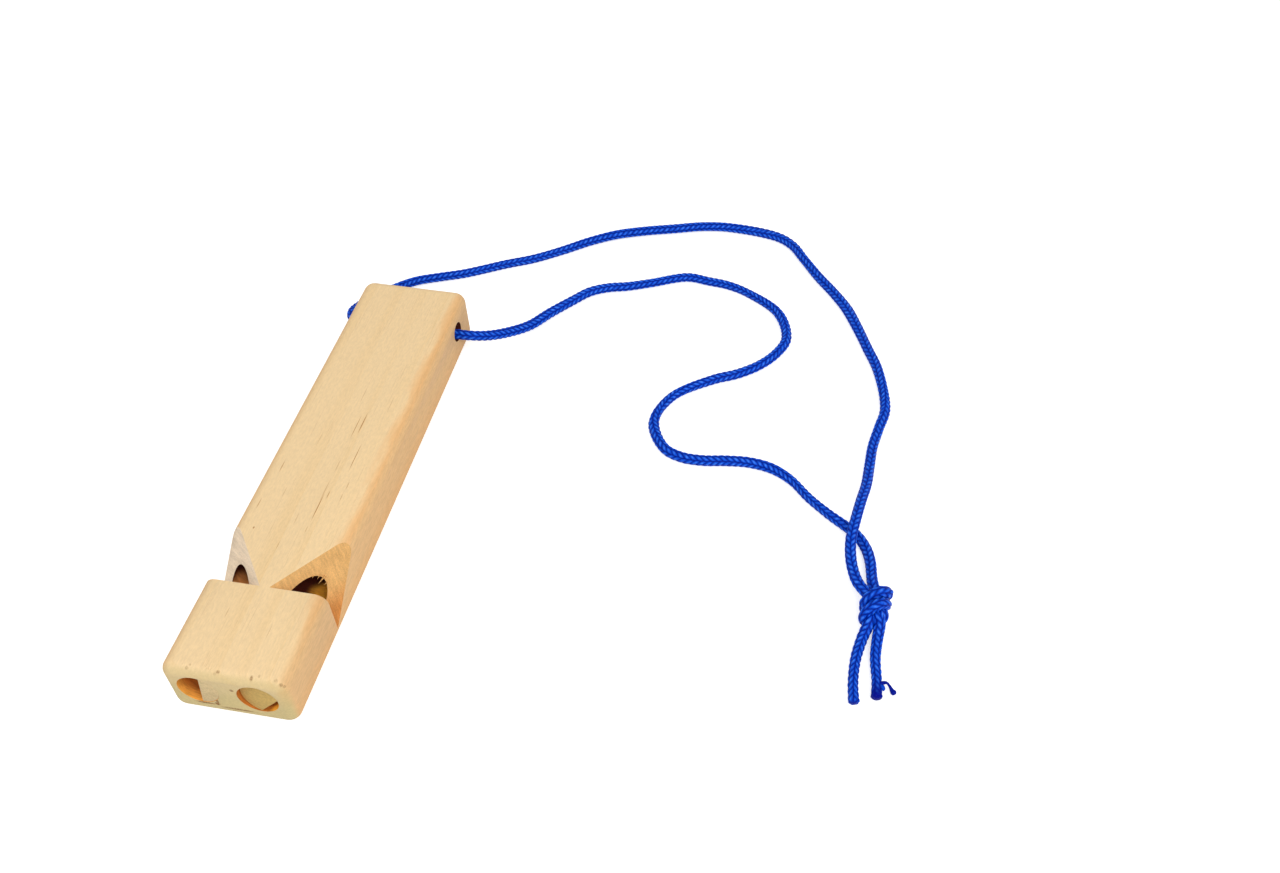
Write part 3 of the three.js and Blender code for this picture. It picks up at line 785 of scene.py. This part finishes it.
def nylon_piece(name, bm, material):
    """A wrapped tube as a piece, with its seam and its ends closed."""
    bmesh.ops.remove_doubles(bm, verts=bm.verts, dist=MERGE_DISTANCE)
    bmesh.ops.dissolve_degenerate(bm, edges=bm.edges, dist=MERGE_DISTANCE / 10)
    bmesh.ops.recalc_face_normals(bm, faces=bm.faces)
    piece = new_piece(name, bm, material, smooth_angle=math.pi)
    return piece


def braided_strand(name, shape, sizes, material, others):
    """A closed tube whose surface is the braid."""
    surface, height, melted = strand_surface(shape, sizes)
    press_together(surface, shape, others)
    bm, (height_layer, melted_layer, strip_layer), places = tube_grid(len(shape.line), AROUND)
    for face in bm.faces:
        for loop in face.loops:
            ring, column = places[loop.vert]
            loop[strip_layer].uv = (shape.along[ring], column / AROUND * CORD_DIAMETER * math.pi)
    for vert, (ring, column) in places.items():
        vert.co = surface[ring, column % AROUND]
        vert[height_layer] = height[ring, column % AROUND]
        vert[melted_layer] = melted[ring]
    return nylon_piece(name, bm, material)


def thread(name, points, widths, material, melted):
    """A round thread through the points, as thick at each as its width says. melted is from 0 to 1."""
    line, along = smooth_route(points, THREAD_SPACING)
    stations = [route_length(points[:i + 1]) if i else 0 for i in range(len(points))]
    radius = np.interp(along, stations, widths) / 2
    first, second = carried_frames(line)
    bm, (height_layer, melted_layer, _), places = tube_grid(len(line), THREAD_AROUND)
    for vert, (ring, column) in places.items():
        angle = 2 * math.pi * column / THREAD_AROUND
        outward = math.cos(angle) * first[ring] + math.sin(angle) * second[ring]
        vert.co = line[ring] + radius[ring] * outward
        vert[height_layer] = 0.5
        vert[melted_layer] = melted
    return nylon_piece(name, bm, material)


class WHISTLE_OT_cord(Operator):
    """Make the neck cord: two braided strands from the hole to the knot and its tails"""

    bl_idname = "whistle.cord"
    bl_label = "Neck cord"

    def execute(self, context):
        """Make the two strands and the yarn that has come out of one."""
        sizes = context.scene.whistle_sizes
        nylon = braided_nylon(context.scene.whistle_colours)
        left = StrandShape(LEFT_RUN, LEFT_KNOT, LEFT_TAIL, LEFT_LIE, LEFT_MELTED)
        right = StrandShape(RIGHT_RUN, RIGHT_KNOT, RIGHT_TAIL, RIGHT_LIE, RIGHT_MELTED)
        strands = (
            ("cord_left_strand", left, -HALF_WIDTH, ("cord_left_bend", "cord_left_run", "cord_left_tail")),
            ("cord_right_strand", right, HALF_WIDTH, ("cord_right_run", "cord_right_tail")),
        )
        for name, own, exit_x, nodes in strands:
            others = []
            for shape in (left, right):
                first = np.searchsorted(shape.along, shape.knot_start - KNOT_EASE)
                part = slice(int(first), None, RING_STEP)
                others.append((shape.line[part], shape.along[part], shape is own))
            piece = braided_strand(name, own, sizes, nylon, others)
            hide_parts("cord_hole_stretch", "cord_knot", *nodes)
        thread("frayed_thread", FRAYED_THREAD, FRAYED_WIDTHS, nylon, FRAYED_MELTED)
        thread("loose_stitch", LOOSE_STITCH, STITCH_WIDTHS, nylon, 0.0)
        return {"FINISHED"}


def solid_box(middle, size):
    """A box as a bmesh."""
    bm = bmesh.new()
    bmesh.ops.create_cube(bm, size=1, matrix=Matrix.Translation(middle) @ Matrix.Diagonal((*size, 1)))
    return bm


def turned(profile, segments):
    """A solid of revolution about Y from (radius, y) pairs that start and end on the axis."""
    bm = bmesh.new()
    verts = [bm.verts.new((radius, y, 0)) for radius, y in profile]
    edges = [bm.edges.new(pair) for pair in zip(verts, verts[1:])]
    bmesh.ops.spin(
        bm, geom=verts + edges, cent=(0, 0, 0), axis=(0, 1, 0), angle=2 * math.pi, steps=segments,
        use_merge=True,
    )
    bmesh.ops.remove_doubles(bm, verts=bm.verts, dist=MERGE_DISTANCE)
    bmesh.ops.recalc_face_normals(bm, faces=bm.faces)
    return bm


def sawn_off(bm, place, outward):
    """Take away what lies outside a plane, and close the cut."""
    geometry = bm.verts[:] + bm.edges[:] + bm.faces[:]
    bmesh.ops.bisect_plane(bm, geom=geometry, plane_co=place, plane_no=outward, clear_outer=True)
    bmesh.ops.holes_fill(bm, edges=[e for e in bm.edges if e.is_boundary])


def bore_cutter(x, depth):
    """A drill's shape for one bore, with its point."""
    start, end = MOUTH_Y - BORE_OVERSHOOT, MOUTH_Y + depth
    point = BORE_RADIUS / math.tan(DRILL_POINT / 2)
    bm = turned(((0, start), (BORE_RADIUS, start), (BORE_RADIUS, end), (0, end + point)), BORE_SIDES)
    bmesh.ops.translate(bm, verts=bm.verts, vec=(x, 0, BORE_Z))
    return mesh_object("bore", bm)


def hole_cutter():
    """A drill's shape for the cord hole, which goes right across."""
    ends = (0, -HOLE_REACH), (HOLE_RADIUS, -HOLE_REACH), (HOLE_RADIUS, HOLE_REACH), (0, HOLE_REACH)
    bm = turned(ends, HOLE_SIDES)
    bmesh.ops.rotate(bm, verts=bm.verts, cent=(0, 0, 0), matrix=Matrix.Rotation(math.pi / 2, 3, "Z"))
    bmesh.ops.translate(bm, verts=bm.verts, vec=(0, HOLE_Y, HOLE_Z))
    return mesh_object("hole", bm)


def window_plane(side):
    """A point on the window's slope and its upward normal."""
    apex = Vector((side * WINDOW_APEX_X, WINDOW_Y, HEIGHT))
    end = Vector((side * HALF_WIDTH, WINDOW_Y + WINDOW_RUN, HEIGHT))
    tip = Vector((side * HALF_WIDTH, WINDOW_Y, WINDOW_TIP_Z))
    normal = (end - apex).cross(tip - apex).normalized()
    return apex, normal if normal.z > 0 else -normal


def window_cutter(side):
    """The corner that the saw takes away behind the window's wall."""
    size = Vector((20, 30, 30)) * MM
    middle = Vector((side * size.x / 2, WINDOW_Y + size.y / 2, size.z / 2 - 5 * MM))
    bm = solid_box(middle, size)
    apex, normal = window_plane(side)
    sawn_off(bm, apex, -normal)
    bmesh.ops.recalc_face_normals(bm, faces=bm.faces)
    return mesh_object("window", bm)


def bevel_edges(bm, edges, width, segments):
    """Round some edges of a solid."""
    bmesh.ops.bevel(
        bm, geom=edges, offset=width, offset_type="OFFSET", segments=segments, profile=0.5,
        affect="EDGES", material=-1, clamp_overlap=False,
    )


def rounded_block():
    """The planed block: long edges rounded first, then each end."""
    bm = solid_box((BLOCK_HIGH + BLOCK_LOW) / 2, BLOCK_HIGH - BLOCK_LOW)
    long_edges = [e for e in bm.edges if e.verts[0].co.y * e.verts[1].co.y < 0]
    bevel_edges(bm, long_edges, LONG_EDGE_RADIUS, 12)
    for end, radius in ((MOUTH_Y, MOUTH_EDGE_RADIUS), (TAIL_Y, TAIL_EDGE_RADIUS)):
        edges = [e for e in bm.edges if all(abs(v.co.y - end) < ON_SURFACE for v in e.verts)]
        bevel_edges(bm, edges, radius, 10)
    bmesh.ops.remove_doubles(bm, verts=bm.verts, dist=MERGE_DISTANCE)
    bmesh.ops.recalc_face_normals(bm, faces=bm.faces)
    return bm


def finished_mesh(piece):
    """Apply a piece's modifiers to its mesh."""
    bpy.context.view_layer.update()
    made = bpy.data.meshes.new_from_object(piece.evaluated_get(bpy.context.evaluated_depsgraph_get()))
    piece.modifiers.clear()
    piece.data = made


def cut_away(piece, tools):
    """Cut the tools' shapes out of a piece and throw the tools away."""
    for tool in tools:
        cut = piece.modifiers.new("Cut", "BOOLEAN")
        cut.operation = "DIFFERENCE"
        cut.solver = "EXACT"
        cut.object = tool
    finished_mesh(piece)
    for tool in tools:
        bpy.data.objects.remove(tool)


def worn_edges(piece, width):
    """Round the edges of a cut piece a little, and let it look smooth between them."""
    worn = piece.modifiers.new("Worn edges", "BEVEL")
    worn.width = width
    worn.segments = 2
    worn.limit_method = "ANGLE"
    worn.angle_limit = WORN_ANGLE
    finished_mesh(piece)
    piece.data.shade_smooth()
    piece.data.set_sharp_from_angle(angle=CRISP_ANGLE)


class WHISTLE_OT_block(Operator):
    """Make the pine block with its bores, windows and cord hole"""

    bl_idname = "whistle.block"
    bl_label = "Pine block"

    def execute(self, context):
        """Cut the block, give each cut its finish and wear the edges."""
        colours = context.scene.whistle_colours
        sizes = context.scene.whistle_sizes
        block = new_piece("pine_block", rounded_block(), sanded_pine(colours, sizes))
        cut_away(block, [
            bore_cutter(-BORE_X, LEFT_BORE_DEPTH),
            bore_cutter(BORE_X, RIGHT_BORE_DEPTH),
            window_cutter(-1),
            window_cutter(1),
            hole_cutter(),
        ])
        sawn = sawn_pine(colours, sizes)
        block.data.materials.append(drilled_pine(colours))
        block.data.materials.append(sawn)
        self.sort_faces(block.data)
        worn_edges(block, sizes.rim_bevel)
        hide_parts("whistle_body")
        torn_fibres(sawn)
        return {"FINISHED"}

    def sort_faces(self, mesh):
        """Give the drilled walls and the sawn slopes their own finish."""
        drilled, sawn = 1, 2
        slopes = [(side, *window_plane(side)) for side in (-1, 1)]
        bores = [(Vector((x, 0, BORE_Z)), Vector((0, 1, 0)), BORE_RADIUS) for x in (-BORE_X, BORE_X)]
        hole = (Vector((0, HOLE_Y, HOLE_Z)), Vector((1, 0, 0)), HOLE_RADIUS)
        for face in mesh.polygons:
            centre = Vector(face.center)
            if face.normal.y > 0.99 and abs(centre.y - WINDOW_Y) < ON_SURFACE:
                face.material_index = sawn
            for side, apex, normal in slopes:
                behind_wall = centre.x * side > 0 and centre.y > WINDOW_Y - ON_SURFACE
                if behind_wall and abs((centre - apex).dot(normal)) < ON_SURFACE:
                    face.material_index = sawn
            for middle, axis, radius in (*bores, hole):
                radial = centre - middle
                radial -= radial.dot(axis) * axis
                looks_inwards = radial.dot(face.normal) < 0 and abs(face.normal.dot(axis)) < 0.9
                if looks_inwards and radial.length < radius + ON_SURFACE:
                    face.material_index = drilled


def torn_fibres(material):
    """Slivers that the drill left on the rim of the right window's arch."""
    apex, normal = window_plane(1)
    downhill = (Vector((0, -1, 0)) + normal * normal.y).normalized()
    made = bmesh.new()
    for turn, length, width, lean in TORN_FIBRES:
        angle = math.radians(turn)
        rim = BORE_RADIUS * Vector((math.cos(angle), 0, math.sin(angle)))
        x, z = BORE_X + rim.x, BORE_Z + rim.z
        y = apex.y - (normal.x * (x - apex.x) + normal.z * (z - apex.z)) / normal.y
        direction = (downhill - lean * rim.normalized()).normalized()
        middle = Vector((x, y, z)) - normal * FIBRE_DEPTH + direction * length * (0.5 - FIBRE_ROOT)
        turned_to = Vector((0, 0, 1)).rotation_difference(direction).to_matrix().to_4x4()
        place = Matrix.Translation(middle) @ turned_to @ Matrix.Diagonal((1, FIBRE_FLATNESS, 1, 1))
        bmesh.ops.create_cone(
            made, cap_ends=True, segments=6, radius1=width, radius2=width * FIBRE_TAPER, depth=length,
            matrix=place,
        )
    bmesh.ops.recalc_face_normals(made, faces=made.faces)
    piece = new_piece("torn_fibres", made, material, smooth_angle=CRISP_ANGLE)


def dowel_plug(name, node, place, material):
    """A dowel plug with its sloping flat, rounded a little at its edges."""
    x, recess, slope_across, slope_up, clearance, angle, mouth_chord, inner_chord = place
    radius = BORE_RADIUS - clearance
    front, back = MOUTH_Y - PLUG_SPARE, WINDOW_Y - PLUG_SETBACK
    bm = turned(((0, front), (radius, front), (radius, back), (0, back)), BORE_SIDES)
    outward = Vector((math.cos(angle), 0, math.sin(angle)))
    rise = (inner_chord - mouth_chord) / WINDOW_SETBACK
    flat = (outward - Vector((0, rise, 0))).normalized()
    sawn_off(bm, outward * mouth_chord + Vector((0, MOUTH_Y, 0)), flat)
    sawn_off(bm, Vector((0, MOUTH_Y + recess, 0)), Vector((slope_across, -1, slope_up)).normalized())
    bmesh.ops.translate(bm, verts=bm.verts, vec=(x, 0, BORE_Z))
    bmesh.ops.recalc_face_normals(bm, faces=bm.faces)
    plug = new_piece(name, bm, material)
    worn_edges(plug, PLUG_EDGE)
    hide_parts(node)


class WHISTLE_OT_plugs(Operator):
    """Make the two dowel plugs in the mouth end"""

    bl_idname = "whistle.plugs"
    bl_label = "Dowel plugs"

    def execute(self, context):
        """Make each plug with its own dowel's colour."""
        colours = context.scene.whistle_colours
        left = dowel_end_grain("Left dowel end grain", colours.left_dowel)
        right = dowel_end_grain("Right dowel end grain", colours.right_dowel)
        dowel_plug("dowel_left", "left_plug", LEFT_PLUG, left)
        dowel_plug("dowel_right", "right_plug", RIGHT_PLUG, right)
        return {"FINISHED"}


class WHISTLE_OT_stage(Operator):
    """Make the camera, the pale floor and the soft light"""

    bl_idname = "whistle.stage"
    bl_label = "Stage"

    def execute(self, context):
        """Make them and show colours as they are written."""
        scene = context.scene
        self.make_camera(scene)
        self.make_floor(scene)
        self.make_lights(scene)
        scene.view_settings.view_transform = "Standard"
        return {"FINISHED"}

    def make_camera(self, scene):
        """The camera where the photograph was taken from, which looks down its negative Z."""
        level = Vector((math.cos(CAMERA_YAW), -math.sin(CAMERA_YAW), 0))
        ahead = Vector((math.sin(CAMERA_YAW), math.cos(CAMERA_YAW), 0)) * math.cos(CAMERA_PITCH)
        forward = ahead - Vector((0, 0, math.sin(CAMERA_PITCH)))
        level_up = level.cross(forward)
        right = math.cos(CAMERA_ROLL) * level + math.sin(CAMERA_ROLL) * level_up
        up = math.cos(CAMERA_ROLL) * level_up - math.sin(CAMERA_ROLL) * level
        lens = bpy.data.cameras.new("Camera")
        lens.lens = CAMERA_LENS_MM
        lens.sensor_width = CAMERA_SENSOR_MM
        lens.sensor_fit = "HORIZONTAL"
        lens.shift_x, lens.shift_y = CAMERA_SHIFT
        lens.clip_start = CAMERA_NEAR
        camera = bpy.data.objects.new("Camera", lens)
        turn = Matrix((right, up, -forward)).transposed().to_4x4()
        camera.matrix_world = Matrix.Translation(CAMERA_PLACE) @ turn
        scene.collection.objects.link(camera)
        scene.camera = camera

    def make_floor(self, scene):
        """A matt white table top, which shows as white to the camera and keeps the whistle's shadow."""
        colours = scene.whistle_colours
        bm = bmesh.new()
        bmesh.ops.create_grid(bm, x_segments=1, y_segments=1, size=FLOOR_HALF_WIDTH)
        floor = mesh_object("Floor", bm)
        material, node = new_material("White table")
        floor.data.materials.append(surfaced(material, {
            "Base Color": colours.floor_shade,
            "Roughness": 1,
            "Specular IOR Level": 0,
            "Emission Color": colours.floor,
            "Emission Strength": node("Math", (seen_directly(node), FLOOR_GLOW), operation="MULTIPLY"),
        }))

    def make_lights(self, scene):
        """A white studio with soft lamps. Its light on the object is lower than the white that shows."""
        world = bpy.data.worlds.new("Studio")
        world.use_nodes = True
        tree = world.node_tree
        node = partial(add_node, tree)
        strength = node(
            "MapRange", (seen_directly(node), 0, 1, WORLD_LIGHT, 1), interpolation_type="LINEAR"
        )
        background = tree.nodes["Background"]
        background.inputs["Color"].default_value = (1, 1, 1, 1)
        tree.links.new(strength, background.inputs["Strength"])
        scene.world = world
        for name, place, width, power in LAMPS:
            self.softbox(scene, name, Vector(place), width, power)

    def softbox(self, scene, name, place, width, power):
        """A square soft lamp aimed at the whistle."""
        data = bpy.data.lights.new(name, "AREA")
        data.shape = "SQUARE"
        data.size = width
        data.energy = power
        lamp = bpy.data.objects.new(name, data)
        aim = (LAMP_AIM - place).to_track_quat("-Z", "Y")
        lamp.matrix_world = Matrix.Translation(place) @ aim.to_matrix().to_4x4()
        scene.collection.objects.link(lamp)


class WHISTLE_PT_panel(Panel):
    """The whistle's sizes, colours and operators in the sidebar"""

    bl_idname = "WHISTLE_PT_panel"
    bl_label = "Wooden whistle"
    bl_space_type = "VIEW_3D"
    bl_region_type = "UI"
    bl_category = "Whistle"

    def draw(self, context):
        """List every size and colour, then the operators in their order."""
        for group in (context.scene.whistle_sizes, context.scene.whistle_colours):
            for name in group.__annotations__:
                self.layout.prop(group, name)
        for operator in OPERATORS:
            self.layout.operator(operator.bl_idname)


OPERATORS = (WHISTLE_OT_stage, WHISTLE_OT_cord, WHISTLE_OT_block, WHISTLE_OT_plugs)
CLASSES = (WhistleSizes, WhistleColours, *OPERATORS, WHISTLE_PT_panel)


def register():
    """Make the classes and the scene's sizes and colours known to Blender."""
    for cls in CLASSES:
        bpy.utils.register_class(cls)
    bpy.types.Scene.whistle_sizes = PointerProperty(type=WhistleSizes)
    bpy.types.Scene.whistle_colours = PointerProperty(type=WhistleColours)


def unregister():
    """Take back what register made known."""
    del bpy.types.Scene.whistle_colours
    del bpy.types.Scene.whistle_sizes
    for cls in reversed(CLASSES):
        bpy.utils.unregister_class(cls)


def main():
    """Make the stage and the pieces."""
    register()
    bpy.ops.whistle.stage()
    bpy.ops.whistle.cord()
    bpy.ops.whistle.block()
    bpy.ops.whistle.plugs()
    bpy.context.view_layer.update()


if __name__ == "__main__":
    main()
